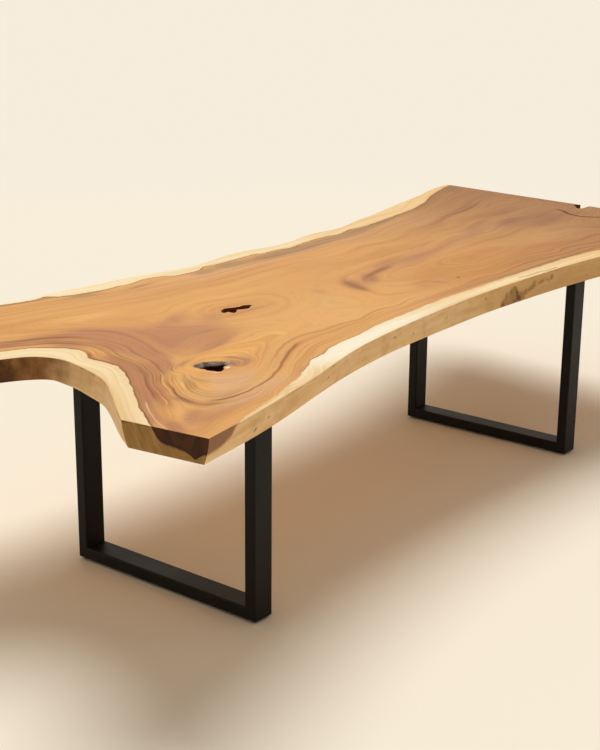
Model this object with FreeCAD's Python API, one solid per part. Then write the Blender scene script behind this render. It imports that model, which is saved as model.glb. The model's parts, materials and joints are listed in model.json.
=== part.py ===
import FreeCAD, Part
import math
import os

# Live edge dining table: one thick natural-edged slab on two welded tube leg frames.
# Millimetres, +Z up. The origin is on the floor, under the middle of the table's outline.
# -X is the forked end, +X the far end. -Y is the front side, +Y the back side.
Vector = FreeCAD.Vector
os.makedirs("parts", exist_ok=True)

# Slab
slab_thickness = 70.0
edge_bulge = 3.5            # how far a natural edge swells between its two faces
arris_radius = 2.5          # sanded corners between the faces and the edges
fork_cut = (-1744.0, -711.0, -0.130)    # a point on the saw cut across the fork, and its dx/dy
far_cut = (1934.0, 843.0, 0.117)        # the same for the far end

# Leg frames, of rectangular steel tube
tube_width = 80.0           # along X
tube_depth = 40.0
tube_wall = 3.0
tube_corner = 5.0
frame_height = 700.0        # rail underside to plate top
frame_width = 750.0         # along Y, over the uprights
frame_middle_y = -187.0
leg_middle_x = {"left": -1188.0, "right": 701.0}
plate_thickness = 8.0
plate_width = 100.0
plate_corner = 4.0
weld_leg = 5.0
weld_toe = 0.4

# Levelling feet, M8, in rivet nuts
rail_clearance = 8.0        # rail underside above the floor, with the feet wound in
foot_inset = 40.0           # from the end of the rail to the foot's axis
pad_radius = 15.0
pad_height = 4.5
stud_radius = 4.0
stud_top = 38.0
stud_disc = (6.0, 3.0)      # radius and height of the disc that the pad is moulded round
spanner_flats = 13.0
spanner_height = 2.0
thread_clearance = 0.05
nut_radius = 5.5
nut_flange = (8.5, 1.2)     # radius and height
nut_crimp = (7.2, 3.0)      # radius and height of the collar crimped inside the tube
nut_length = 14.0

# Slab fixings, M8 in threaded inserts, two rows of three to a plate
bolt_radius = 4.0
bolt_grip = 30.0            # under the head
bolt_pitch_x = 60.0
bolt_pitch_y = 310.0
slot_width = 9.0
slot_length = 22.0          # the outer holes are slots, so the slab can move across its grain
washer_radius = 12.0
washer_thickness = 2.0
head_radius = 7.0
head_height = 4.4
key_flats = 5.0
key_depth = 2.6
insert_radius = 6.5
insert_length = 20.0
insert_collar = (8.5, 1.5)  # radius and height, let in flush
pilot_length = 24.0

overrun = 20.0              # how far a cutting tool passes the faces that it cuts

frame_top = rail_clearance + frame_height       # underside of the slab
slab_top = frame_top + slab_thickness
upright_top = frame_top - plate_thickness
front_y = frame_middle_y - frame_width / 2
back_y = frame_middle_y + frame_width / 2
foot_y = {"front": front_y + foot_inset, "back": back_y - foot_inset}
bolt_pattern = [(dx, dy) for dx in (-bolt_pitch_x / 2, bolt_pitch_x / 2)
                for dy in (-bolt_pitch_y, 0, bolt_pitch_y)]

# Natural edges: x and y on the top face, then y on the underside
front_edge = [
    (-1848, -862, -845), (-1725, -842, -826), (-1609, -822, -808), (-1475, -795, -784),
    (-1323, -761, -750), (-1161, -723, -707), (-993, -676, -664), (-829, -635, -630),
    (-665, -608, -605), (-466, -584, -586), (-240, -564, -573), (-10, -551, -563),
    (230, -550, -565), (472, -553, -573), (700, -563, -589), (900, -582, -610),
    (1080, -607, -636), (1292, -648, -682), (1512, -707, -742), (1732, -774, -802),
    (1872, -817, -842),
]
back_edge = [
    (-2028, 760, 742), (-1932, 746, 728), (-1678, 706, 690), (-1428, 658, 644),
    (-1228, 610, 598), (-1097, 578, 572), (-928, 578, 574), (-778, 558, 560),
    (-578, 543, 552), (-378, 506, 520), (-178, 524, 538), (-28, 542, 556),
    (167, 516, 532), (322, 532, 546), (472, 556, 566), (622, 548, 560),
    (772, 581, 588), (972, 623, 626), (1172, 670, 668), (1372, 718, 712),
    (1572, 763, 752), (1772, 820, 804), (1934, 843, 826), (2052, 863, 846),
]
# The bay between the prongs of the fork: x and y on the top face, then on the underside
bay_edge = [
    (-1823, -661, -1823, -685), (-1763, -581, -1763, -605), (-1717, -520, -1723, -541),
    (-1660, -447, -1678, -476), (-1591, -357, -1594, -358), (-1552, -297, -1560, -300),
    (-1519, -211, -1530, -217), (-1496, -120, -1502, -122), (-1491, -58, -1492, -60),
    (-1498, -23, -1490, -20), (-1528, 28, -1531, 31), (-1576, 58, -1579, 61),
    (-1680, 94, -1682, 102), (-1770, 124, -1770, 134), (-1860, 155, -1858, 168),
    (-1980, 196, -1978, 212),
]
bay_middle = (-1800, -230)
# Holes that knots have left, and the check that runs in from the far end
near_knot = [
    (-1296, -391), (-1272, -387), (-1245, -390), (-1220, -400), (-1199, -412), (-1186, -430),
    (-1189, -448), (-1211, -461), (-1243, -479), (-1270, -487), (-1288, -479), (-1298, -462),
    (-1300, -439), (-1304, -412),
]
far_knot = [
    (-758, -27), (-735, -24), (-707, -26), (-682, -32), (-658, -37), (-632, -45),
    (-648, -57), (-674, -68), (-699, -68), (-721, -69), (-750, -78), (-774, -76),
    (-782, -62), (-776, -44),
]
end_check = [
    (1880, 92), (1812, 44), (1765, 22), (1746, 2), (1778, -8), (1818, -6), (1880, -30),
]
# Stages down each hole: height above the underside, scale, drift along x and y
near_knot_stages = [(72, 1.02, 0, 0), (50, 0.86, -3, -2), (25, 0.6, -14, -4), (-5, 0.42, -26, -2)]
far_knot_stages = [(72, 1.02, 0, 0), (50, 0.8, 0, 2), (26, 0.5, 3, 4)]


def smooth_line(points):
    curve = Part.BSplineCurve()
    curve.interpolate(points)
    return curve.toShape()


def smooth_loop(points):
    curve = Part.BSplineCurve()
    curve.interpolate(points, PeriodicFlag=True)
    return Part.Wire([curve.toShape()])


def closed_by_line(points):
    return Part.Wire([smooth_line(points), Part.makeLine(points[-1], points[0])])


def polygon_face(points):
    return Part.Face(Part.makePolygon(points + points[:1]))


def turned(profile):
    """A solid of revolution about Z, from (radius, height) points."""
    face = polygon_face([Vector(radius, 0, height) for radius, height in profile])
    return face.revolve(Vector(0, 0, 0), Vector(0, 0, 1), 360)


def hexagon_bar(flats, height, base):
    corner = flats / math.sqrt(3)
    angles = [math.radians(60 * step) for step in range(6)]
    points = [Vector(corner * math.cos(a), corner * math.sin(a), base) for a in angles]
    return polygon_face(points).extrude(Vector(0, 0, height))


def placed(shape, x, y, z=0):
    copy = shape.copy()
    copy.translate(Vector(x, y, z))
    return copy


# ---- slab

def blend(top, under, level):
    return under + (top - under) * level


def swell(level):
    return edge_bulge * 4 * level * (1 - level)


def board_outline(level):
    """Outline of the sawn board, over long at both ends, at a level from 0 (under) to 1 (top)."""
    z = frame_top + slab_thickness * level
    front = [Vector(x, blend(top, under, level) - swell(level), z) for x, top, under in front_edge]
    back = [Vector(x, blend(top, under, level) + swell(level), z) for x, top, under in back_edge]
    back.reverse()
    far_end = Part.makeLine(front[-1], back[0])
    fork_end = Part.makeLine(back[-1], front[0])
    return Part.Wire([smooth_line(front), far_end, smooth_line(back), fork_end])


def bay_outline(level):
    """Outline of the space between the prongs at a level; its natural wall swells inwards."""
    z = frame_top + slab_thickness * level
    middle = Vector(bay_middle[0], bay_middle[1], z)
    wall = []
    for top_x, top_y, under_x, under_y in bay_edge:
        point = Vector(blend(top_x, under_x, level), blend(top_y, under_y, level), z)
        wall.append(point + (middle - point).normalize() * swell(level))
    return closed_by_line(wall)


def natural_solid(outline):
    return Part.makeLoft([outline(level) for level in (0, 0.33, 0.67, 1)], True, False)


def waste_beyond(cut, side):
    """The wood that a straight saw cut takes off; side is -1 at the fork, 1 at the far end."""
    x, y, lean = cut
    reach = 2400
    base = frame_top - overrun
    low = Vector(x - lean * reach, y - reach, base)
    high = Vector(x + lean * reach, y + reach, base)
    away = Vector(side * reach, 0, 0)
    waste = polygon_face([low, high, high + away, low + away])
    return waste.extrude(Vector(0, 0, slab_thickness + 2 * overrun))


def knot_void(outline, stages):
    count = len(outline)
    middle = Vector(sum(x for x, y in outline) / count, sum(y for x, y in outline) / count, 0)
    loops = []
    for height, scale, drift_x, drift_y in stages:
        place = middle + Vector(drift_x, drift_y, frame_top + height)
        loops.append(smooth_loop([place + (Vector(x, y, 0) - middle) * scale for x, y in outline]))
    return Part.makeLoft(loops, True, False)


def end_check_void():
    wall = [Vector(x, y, frame_top - overrun) for x, y in end_check]
    return Part.Face(closed_by_line(wall)).extrude(Vector(0, 0, slab_thickness + 2 * overrun))


def ease_arrises(slab):
    """Round the edges that lie in the top face and the underside."""
    edges = []
    for edge in slab.Edges:
        box = edge.BoundBox
        on_face = min(abs(box.ZMin - slab_top), abs(box.ZMin - frame_top)) < 0.01
        if on_face and box.ZLength < 0.01:
            edges.append(edge)
    return slab.makeFillet(arris_radius, edges)


def bolt_places(side):
    for dx, dy in bolt_pattern:
        yield leg_middle_x[side] + dx, frame_middle_y + dy


def make_slab():
    slab = natural_solid(board_outline).cut(natural_solid(bay_outline))
    slab = slab.cut([waste_beyond(fork_cut, -1), waste_beyond(far_cut, 1), end_check_void()])
    slab = ease_arrises(slab)
    slab = slab.cut([knot_void(near_knot, near_knot_stages), knot_void(far_knot, far_knot_stages)])
    pilot = Part.makeCylinder(insert_radius, pilot_length)
    pilot = pilot.fuse(Part.makeCylinder(*insert_collar))
    holes = [placed(pilot, x, y, frame_top) for side in leg_middle_x for x, y in bolt_places(side)]
    return slab.cut(holes)


# ---- leg frames

def rounded_rectangle(width, depth, radius, z=0.0):
    """Closed wire round the Z axis, with arcs at its corners."""
    corners = [(1, 1, 0), (-1, 1, 90), (-1, -1, 180), (1, -1, 270)]
    arcs = []
    for sign_x, sign_y, start in corners:
        centre = Vector(sign_x * (width / 2 - radius), sign_y * (depth / 2 - radius), z)
        arcs.append(Part.makeCircle(radius, centre, Vector(0, 0, 1), start, start + 90))
    edges = []
    for here, after in zip(arcs, arcs[1:] + arcs[:1]):
        edges += [here, Part.makeLine(here.Vertexes[-1].Point, after.Vertexes[0].Point)]
    return Part.Wire(edges)


def tube_bar(length):
    outer = Part.Face(rounded_rectangle(tube_width, tube_depth, tube_corner))
    inner = Part.Face(rounded_rectangle(
        tube_width - 2 * tube_wall, tube_depth - 2 * tube_wall, tube_corner - tube_wall))
    return outer.cut(inner).extrude(Vector(0, 0, length))


def mitre_waste(outer_y, inwards, under):
    """Prism on one side of the 45 degree mitre at a lower corner of the frame."""
    reach = tube_depth + overrun
    low = Vector(-tube_width, outer_y - inwards * overrun, rail_clearance - overrun)
    high = Vector(-tube_width, outer_y + inwards * reach, rail_clearance + reach)
    corner = Vector(-tube_width, high.y, low.z) if under else Vector(-tube_width, low.y, high.z)
    return polygon_face([low, high, corner]).extrude(Vector(2 * tube_width, 0, 0))


def make_upright(outer_y, inwards):
    tube = tube_bar(frame_height - plate_thickness)
    tube.translate(Vector(0, outer_y + inwards * tube_depth / 2, rail_clearance))
    return tube.cut(mitre_waste(outer_y, inwards, True))


def make_floor_rail():
    tube = tube_bar(frame_width)
    tube.rotate(Vector(0, 0, 0), Vector(1, 0, 0), -90)
    tube.translate(Vector(0, front_y, rail_clearance + tube_depth / 2))
    waste = [mitre_waste(front_y, 1, False), mitre_waste(back_y, -1, False)]
    drill = Part.makeCylinder(nut_radius, 2 * tube_wall)
    waste += [placed(drill, 0, y, rail_clearance - tube_wall / 2) for y in foot_y.values()]
    return tube.cut(waste)


def slot_cutter(run):
    """Cutter for a hole that runs along Y by this much more than its width."""
    radius = slot_width / 2
    cutter = placed(Part.makeCylinder(radius, plate_thickness), 0, -run / 2)
    if run:
        middle = Part.makeBox(slot_width, run, plate_thickness)
        far_round = Part.makeCylinder(radius, plate_thickness)
        cutter = cutter.fuse([placed(middle, -radius, -run / 2), placed(far_round, 0, run / 2)])
    return cutter


def make_mounting_plate():
    plate = Part.makeBox(plate_width, frame_width, plate_thickness)
    corner_edges = [edge for edge in plate.Edges if edge.BoundBox.ZLength > plate_thickness / 2]
    plate = plate.makeFillet(plate_corner, corner_edges)
    plate.translate(Vector(-plate_width / 2, front_y, upright_top))
    slot = slot_cutter(slot_length - slot_width)
    round_hole = slot_cutter(0)
    holes = [placed(slot if dy else round_hole, dx, frame_middle_y + dy, upright_top)
             for dx, dy in bolt_pattern]
    return plate.cut(holes)


def make_weld_bead(outer_y, inwards):
    """Fillet weld between an upright and the plate; the outer side is ground flush."""
    toe = rounded_rectangle(
        tube_width + 2 * weld_toe, tube_depth + 2 * weld_toe, tube_corner, upright_top - weld_leg)
    crown = rounded_rectangle(
        tube_width + 2 * weld_leg, tube_depth + 2 * weld_leg, tube_corner + weld_leg, upright_top)
    bead = Part.makeLoft([toe, crown], True, True)
    tube = Part.Face(rounded_rectangle(tube_width, tube_depth, tube_corner))
    bead = bead.cut(tube.extrude(Vector(0, 0, frame_height + overrun)))
    bead.translate(Vector(0, outer_y + inwards * tube_depth / 2, 0))
    outside = Part.makeBox(2 * tube_width, tube_depth, frame_height + overrun)
    beyond = outer_y - tube_depth if inwards > 0 else outer_y
    return bead.cut(placed(outside, -tube_width, beyond))


# ---- feet and fixings

def make_rivet_nut():
    bore = stud_radius + thread_clearance
    flange_radius, flange_height = nut_flange
    crimp_radius, crimp_height = nut_crimp
    seat = flange_height + tube_wall
    return turned([
        (bore, 0), (flange_radius, 0), (flange_radius, flange_height), (nut_radius, flange_height),
        (nut_radius, seat), (crimp_radius, seat), (crimp_radius, seat + crimp_height / 2),
        (nut_radius, seat + crimp_height), (nut_radius, nut_length), (bore, nut_length),
    ])


def make_foot_pad():
    pad = turned([
        (0, 0), (pad_radius - 1, 0), (pad_radius, 1), (pad_radius, 2.5),
        (pad_radius - 2.5, pad_height), (0, pad_height),
    ])
    radius, height = stud_disc
    return pad.cut(placed(Part.makeCylinder(radius, height), 0, 0, pad_height - height))


def make_foot_stud():
    radius, height = stud_disc
    disc = placed(Part.makeCylinder(radius, height), 0, 0, pad_height - height)
    stem = turned([
        (0, pad_height - 1), (stud_radius, pad_height - 1), (stud_radius, stud_top - 1),
        (stud_radius - 1, stud_top), (0, stud_top),
    ])
    return disc.fuse([hexagon_bar(spanner_flats, spanner_height, pad_height), stem]).removeSplitter()


def make_bolt():
    """Button-head screw, head down, with the underside of its head at z 0."""
    dome = [(head_radius, -0.6), (6.4, -2.2), (5.0, -3.6), (3.6, -head_height)]
    body = turned([
        (0, -head_height), *reversed(dome), (head_radius, 0), (bolt_radius, 0),
        (bolt_radius, bolt_grip - 1), (bolt_radius - 1, bolt_grip), (0, bolt_grip),
    ])
    return body.cut(hexagon_bar(key_flats, key_depth, -head_height))


def make_washer():
    ring = Part.makeCylinder(washer_radius, washer_thickness)
    return ring.cut(Part.makeCylinder(bolt_radius + 0.2, washer_thickness))


def make_insert():
    sleeve = Part.makeCylinder(insert_radius - thread_clearance, insert_length)
    radius, height = insert_collar
    sleeve = sleeve.fuse(Part.makeCylinder(radius - thread_clearance, height)).removeSplitter()
    return sleeve.cut(Part.makeCylinder(bolt_radius + thread_clearance, insert_length))


def save(node, shapes):
    solids = [solid for shape in shapes for solid in shape.Solids]
    whole = solids[0] if len(solids) == 1 else Part.makeCompound(solids)
    whole.exportStep("parts/" + node + ".step")
    print(node, len(solids), "solid(s)", round(whole.Volume / 1000, 1), "cm3", whole.isValid())


slab = make_slab()
save("live_edge_slab", [slab])

front_upright = make_upright(front_y, 1)
back_upright = make_upright(back_y, -1)
floor_rail = make_floor_rail()
mounting_plate = make_mounting_plate()
weld_beads = [make_weld_bead(front_y, 1), make_weld_bead(back_y, -1)]
rivet_nut = make_rivet_nut()
foot_pad = make_foot_pad()
foot_stud = make_foot_stud()
bolt = make_bolt()
washer = make_washer()
insert = make_insert()

for side, leg_x in leg_middle_x.items():
    save(side + "_leg_front_upright", [placed(front_upright, leg_x, 0)])
    save(side + "_leg_back_upright", [placed(back_upright, leg_x, 0)])
    save(side + "_leg_floor_rail", [placed(floor_rail, leg_x, 0)])
    save(side + "_leg_mounting_plate", [placed(mounting_plate, leg_x, 0)])
    save(side + "_leg_weld_beads", [placed(bead, leg_x, 0) for bead in weld_beads])
    nut_base = rail_clearance - nut_flange[1]
    save(side + "_leg_rivet_nuts", [placed(rivet_nut, leg_x, y, nut_base) for y in foot_y.values()])
    places = list(bolt_places(side))
    head_seat = upright_top - washer_thickness
    save(side + "_leg_bolts", [placed(bolt, x, y, head_seat) for x, y in places])
    save(side + "_leg_washers", [placed(washer, x, y, head_seat) for x, y in places])
    save(side + "_slab_inserts", [placed(insert, x, y, frame_top) for x, y in places])
    for end, y in foot_y.items():
        save(side + "_" + end + "_foot_pad", [placed(foot_pad, leg_x, y)])
        save(side + "_" + end + "_foot_stud", [placed(foot_stud, leg_x, y)])
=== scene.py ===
import json
import math

import bmesh
import bpy
import numpy as np
from mathutils import Matrix, Vector, geometry, noise


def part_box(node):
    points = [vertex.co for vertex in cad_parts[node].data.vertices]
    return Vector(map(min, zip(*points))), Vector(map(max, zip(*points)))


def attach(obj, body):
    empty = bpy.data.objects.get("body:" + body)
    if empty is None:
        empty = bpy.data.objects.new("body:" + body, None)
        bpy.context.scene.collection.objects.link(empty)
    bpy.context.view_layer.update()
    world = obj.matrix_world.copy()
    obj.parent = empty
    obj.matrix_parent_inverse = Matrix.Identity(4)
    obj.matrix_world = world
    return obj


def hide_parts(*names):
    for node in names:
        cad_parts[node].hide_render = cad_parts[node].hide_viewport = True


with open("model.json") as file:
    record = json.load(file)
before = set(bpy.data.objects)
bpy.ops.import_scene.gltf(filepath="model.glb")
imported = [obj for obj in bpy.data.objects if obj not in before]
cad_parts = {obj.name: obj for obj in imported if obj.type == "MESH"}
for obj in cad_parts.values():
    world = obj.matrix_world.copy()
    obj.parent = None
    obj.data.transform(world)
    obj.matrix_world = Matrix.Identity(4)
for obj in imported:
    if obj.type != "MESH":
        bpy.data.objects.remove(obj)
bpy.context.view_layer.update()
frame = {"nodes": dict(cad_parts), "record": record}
nodes = frame["nodes"]
mm = 0.001
print("frame loaded:", len(nodes), "nodes")


def hexColour(code):
    # sRGB hex to the linear colour that a socket takes
    channels = [int(code[i:i + 2], 16) / 255 for i in (1, 3, 5)]
    return (*[c / 12.92 if c <= 0.04045 else ((c + 0.055) / 1.055) ** 2.4 for c in channels], 1.0)


def feed(tree, socket, value):
    # a plain value, a hex colour, a node or socket to link from, or the name of a field of the mesh
    if isinstance(value, str) and value[0] != "#":
        value = addNode(tree, "Attribute", {"attribute_name": value}).outputs["Fac"]
    if isinstance(value, bpy.types.Node):
        value = next(s for s in value.outputs if s.enabled)
    if isinstance(value, bpy.types.NodeSocket):
        tree.links.new(value, socket)
    else:
        socket.default_value = hexColour(value) if isinstance(value, str) else value


def addNode(tree, kind, settings=None, inputs=None):
    # a node with its settings, and what feeds its inputs by name or number
    node = tree.nodes.new("ShaderNode" + kind)
    for name, value in (settings or {}).items():
        setattr(node, name, value)
    for key, value in (inputs or {}).items():
        feed(tree, next(s for i, s in enumerate(node.inputs) if s.enabled and key in (i, s.name)), value)
    return node


def makeMaterial(name, shown, finish):
    # shown is the viewport's colour; finish adds its nodes and says what feeds the shader
    material = bpy.data.materials.new(name)
    material.use_nodes = True
    material.diffuse_color = hexColour(shown)
    tree = material.node_tree
    tree.nodes.clear()
    shader = addNode(tree, "BsdfPrincipled")
    addNode(tree, "OutputMaterial", None, {"Surface": shader})
    for key, value in finish(tree).items():
        feed(tree, shader.inputs[key], value)
    return material


# the board is worked out in millimetres and turned to metres when its mesh is made

slabShape = {
    "edgeBulge": 3.5,           # how far a natural edge swells between its two faces
    "arris": 2.5,               # sanded corners
    "wallRows": 10,
    "edgeStep": 7.0,            # spacing of points along the outline
    "curveStep": 3.0,           # the same while an edge's curve is worked out
    "checkStep": 2.0,
    "fewest": 4,                # points on any stretch of the outline
    "topGrid": 12.0,
    "knotGrid": 6.0,
    "underGrid": 32.0,
    "forkCut": (-1744.0, -711.0, -0.130),   # a point on the saw cut, and its dx/dy
    "farCut": (1934.0, 843.0, 0.117),
    "bayMiddle": (-1800, -230),             # the bay's edge swells towards it
}
# hand-sanded unevenness of a natural edge: its swing, the height over which it sets in from an arris,
# and its scale along and up the edge
ripple = {"swing": 0.7, "setIn": 10.0, "scale": 0.02, "upright": 1.5}
slabLow, slabHigh = [Vector(corner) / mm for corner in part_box("live_edge_slab")]
underZ, topZ = slabLow.z, slabHigh.z
thickness = topZ - underZ

# x, y on the top face, y on the underside
frontEdge = [
    (-1848, -862, -845), (-1725, -842, -826), (-1609, -822, -808), (-1475, -795, -784),
    (-1323, -761, -750), (-1161, -723, -707), (-993, -676, -664), (-829, -635, -630),
    (-665, -608, -605), (-466, -584, -586), (-240, -564, -573), (-10, -551, -563),
    (230, -550, -565), (472, -553, -573), (700, -563, -589), (900, -582, -610),
    (1080, -607, -636), (1292, -648, -682), (1512, -707, -742), (1732, -774, -802),
    (1872, -817, -842), (1990, -853, -876),
]
backEdge = [
    (-2028, 760, 742), (-1932, 746, 728), (-1678, 706, 690), (-1428, 658, 644),
    (-1228, 610, 598), (-1097, 578, 572), (-928, 578, 574), (-778, 558, 560),
    (-578, 543, 552), (-378, 506, 520), (-178, 524, 538), (-28, 542, 556),
    (167, 516, 532), (322, 532, 546), (472, 556, 566), (622, 548, 560),
    (772, 581, 588), (972, 623, 626), (1172, 670, 668), (1372, 718, 712),
    (1572, 763, 752), (1772, 820, 804), (1934, 843, 826), (2052, 863, 846),
]
# x, y on the top face, x, y on the underside
bayEdge = [
    (-1823, -661, -1823, -685), (-1763, -581, -1763, -605), (-1717, -520, -1723, -541),
    (-1660, -447, -1678, -476), (-1591, -357, -1594, -358), (-1552, -297, -1560, -300),
    (-1519, -211, -1530, -217), (-1496, -120, -1502, -122), (-1491, -58, -1492, -60),
    (-1498, -23, -1490, -20), (-1528, 28, -1531, 31), (-1576, 58, -1579, 61),
    (-1680, 94, -1682, 102), (-1770, 124, -1770, 134), (-1860, 155, -1858, 168),
    (-1980, 196, -1978, 212),
]
endCheck = [
    (1880, 38), (1850, 41), (1834, 44), (1828, 50), (1825, 58), (1814, 58), (1794, 44), (1768, 24),
    (1748, 4), (1757, -5), (1778, -8), (1818, -6), (1880, -30),
]
nearKnot = [
    (-1296, -391), (-1272, -387), (-1245, -390), (-1220, -400), (-1199, -412), (-1186, -430),
    (-1196, -445), (-1226, -456), (-1254, -470), (-1272, -485), (-1288, -481), (-1298, -462),
    (-1300, -439), (-1304, -412),
]
farKnot = [
    (-768, -30), (-740, -17), (-720, -24), (-701, -34), (-672, -36), (-651, -42),
    (-642, -51), (-665, -65), (-688, -74), (-708, -67), (-725, -62), (-745, -75),
    (-765, -78), (-767, -66), (-763, -56), (-783, -55), (-780, -42),
]
# height above the underside, scale, drift along x and y
nearKnotStages = [(70, 1.0, 0, 0), (50, 0.86, -3, -2), (25, 0.6, -14, -4), (0, 0.44, -24, -2)]
farKnotStages = [(70, 1.0, 0, 0), (50, 0.8, 0, 2), (26, 0.5, 3, 4)]
# torn wall of a knot: points along it and down it, its unevenness, and how far a blind one's tip is sunk
knotShape = {"step": 5, "rows": 10, "swing": 6.0, "scale": 0.11, "upright": 0.6, "tip": 3.0}
# finer mesh round the knots: lowest and highest corner
finePatches = [((-1420, -620), (-980, -250)), ((-860, -130), (-560, 40))]


def smoothCurve(points, step):
    # natural cubic through the points, sampled about every step
    p = np.array(points, float)
    length = np.linalg.norm(np.diff(p, axis=0), axis=1)
    t = np.concatenate([[0], np.cumsum(length)])
    count = len(t)
    a = np.eye(count)
    b = np.zeros_like(p)
    for i in range(1, count - 1):
        h0, h1 = length[i - 1], length[i]
        a[i, i - 1:i + 2] = h0, 2 * (h0 + h1), h1
        b[i] = 6 * ((p[i + 1] - p[i]) / h1 - (p[i] - p[i - 1]) / h0)
    m = np.linalg.solve(a, b)
    s = np.linspace(0, t[-1], max(2, round(t[-1] / step)) + 1)
    i = np.clip(np.searchsorted(t, s, side="right") - 1, 0, count - 2)
    h = length[i][:, None]
    u = (s - t[i])[:, None]
    slope = (p[i + 1] - p[i]) / h - h * (2 * m[i] + m[i + 1]) / 6
    return p[i] + slope * u + m[i] * u ** 2 / 2 + (m[i + 1] - m[i]) / (6 * h) * u ** 3


def smoothLoop(points, step):
    # the same for a closed loop: three turns of it, of which the middle one is kept
    curve = smoothCurve(points * 3 + points[:1], step)
    third = (len(curve) - 1) // 3
    return curve[third:2 * third]


def evenly(line, count):
    # count + 1 points at even distances along a polyline
    length = np.concatenate([[0], np.cumsum(np.linalg.norm(np.diff(line, axis=0), axis=1))])
    at = np.linspace(0, length[-1], count + 1)
    return np.stack([np.interp(at, length, line[:, axis]) for axis in range(line.shape[1])], 1)


def betweenCuts(line, *cuts):
    # the stretch of a line that stays, ended exactly on the saw cuts
    for (x, y, lean), side in cuts:
        past = side * (line[:, 0] - x - lean * (line[:, 1] - y))
        keep = np.flatnonzero(past < 0)
        first, last = keep[0], keep[-1]
        part = [line[first:last + 1]]
        if first:
            share = past[first] / (past[first] - past[first - 1])
            part.insert(0, (line[first] + share * (line[first - 1] - line[first]))[None])
        if last < len(line) - 1:
            share = past[last] / (past[last] - past[last + 1])
            part.append((line[last] + share * (line[last + 1] - line[last]))[None])
        line = np.concatenate(part)
    return line


def outlineAt(level, counts=None):
    # closed outline at a level from 0 (under) to 1 (top), counter-clockwise, and its points' kinds
    swell = slabShape["edgeBulge"] * 4 * level * (1 - level)
    fork, far = (slabShape["forkCut"], -1), (slabShape["farCut"], 1)
    middle, step = Vector(slabShape["bayMiddle"]), slabShape["curveStep"]
    front = [(x, under + (top - under) * level - swell) for x, top, under in frontEdge]
    back = [(x, under + (top - under) * level + swell) for x, top, under in backEdge]
    bay = []
    for topX, topY, underX, underY in bayEdge:
        point = Vector((underX + (topX - underX) * level, underY + (topY - underY) * level))
        bay.append(point + (middle - point).normalized() * swell)
    front = betweenCuts(smoothCurve(front, step), fork, far)
    back = betweenCuts(smoothCurve(back, step), fork, far)[::-1]
    bay = betweenCuts(smoothCurve(bay, step), fork)[::-1]
    check = betweenCuts(smoothCurve(endCheck, slabShape["checkStep"]), far)[::-1]
    natural = [("edge", front), ("check", check), ("edge", back), ("edge", bay)]
    stretches = []
    for (kind, line), (_, after) in zip(natural, natural[1:] + natural[:1]):
        stretches += [(kind, line), ("cut", np.array([line[-1], after[0]]))]
    if counts is None:
        lengths = [np.linalg.norm(np.diff(line, axis=0), axis=1).sum() for _, line in stretches]
        counts = [max(slabShape["fewest"], round(n / slabShape["edgeStep"])) for n in lengths]
    loop = np.concatenate([evenly(line, n)[:-1] for (_, line), n in zip(stretches, counts)])
    return loop, [kind for (kind, _), n in zip(stretches, counts) for i in range(n)], counts


def outwards(loop):
    # mitred outward normals of a counter-clockwise loop
    ahead = np.roll(loop, -1, axis=0) - loop
    ahead /= np.linalg.norm(ahead, axis=1)[:, None]
    normal = np.stack([ahead[:, 1], -ahead[:, 0]], 1)
    before = np.roll(normal, 1, axis=0)
    return (normal + before) / (1 + (normal * before).sum(1))[:, None]


def insideLoop(points, loop):
    # even-odd test, vectorised over the points
    inside = np.zeros(len(points), bool)
    for (x0, y0), (x1, y1) in zip(loop, np.roll(loop, -1, axis=0)):
        if y0 != y1:
            crosses = (points[:, 1] > min(y0, y1)) & (points[:, 1] <= max(y0, y1))
            inside ^= crosses & (points[:, 0] < x0 + (points[:, 1] - y0) * (x1 - x0) / (y1 - y0))
    return inside


def distanceTo(points, line):
    # distance of each point to a polyline
    best = np.full(len(points), np.inf)
    for start, end in zip(line[:-1], line[1:]):
        along = end - start
        share = np.clip((points - start) @ along / max(along @ along, 1e-9), 0, 1)
        best = np.minimum(best, np.linalg.norm(points - start - share[:, None] * along, axis=1))
    return best


# which of the board's materials each kind of wall takes
finishes = {"face": 0, "edge": 1, "cut": 2, "check": 3, "void": 3}


class Mesher:
    # collects points and faces, each face with a finish
    def __init__(self):
        self.points, self.faces, self.finish = [], [], []

    def addRing(self, ring, z):
        first = len(self.points)
        self.points += [(x, y, h) for (x, y), h in zip(ring, np.broadcast_to(z, (len(ring),)))]
        return np.arange(first, first + len(ring))

    def addFace(self, face, finish):
        self.faces.append(tuple(int(i) for i in face))
        self.finish.append(finish)

    def stitch(self, rings, kinds):
        # quads between rings of the same count, each to the next
        for lower, upper in zip(rings[:-1], rings[1:]):
            for i, kind in enumerate(kinds):
                j = (i + 1) % len(lower)
                self.addFace((lower[i], lower[j], upper[j], upper[i]), finishes[kind])

    def flat(self, index):
        return np.array([self.points[i][:2] for i in index])


rowGap = 0.866                  # distance between the rows of a grid of even triangles, in steps


def hexGrid(low, high, step):
    grid = []
    for k, y in enumerate(np.arange(low[1], high[1], step * rowGap)):
        xs = np.arange(low[0] + (k % 2) * step / 2, high[0], step)
        grid.append(np.stack([xs, np.full_like(xs, y)], 1))
    return np.concatenate(grid)


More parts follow.
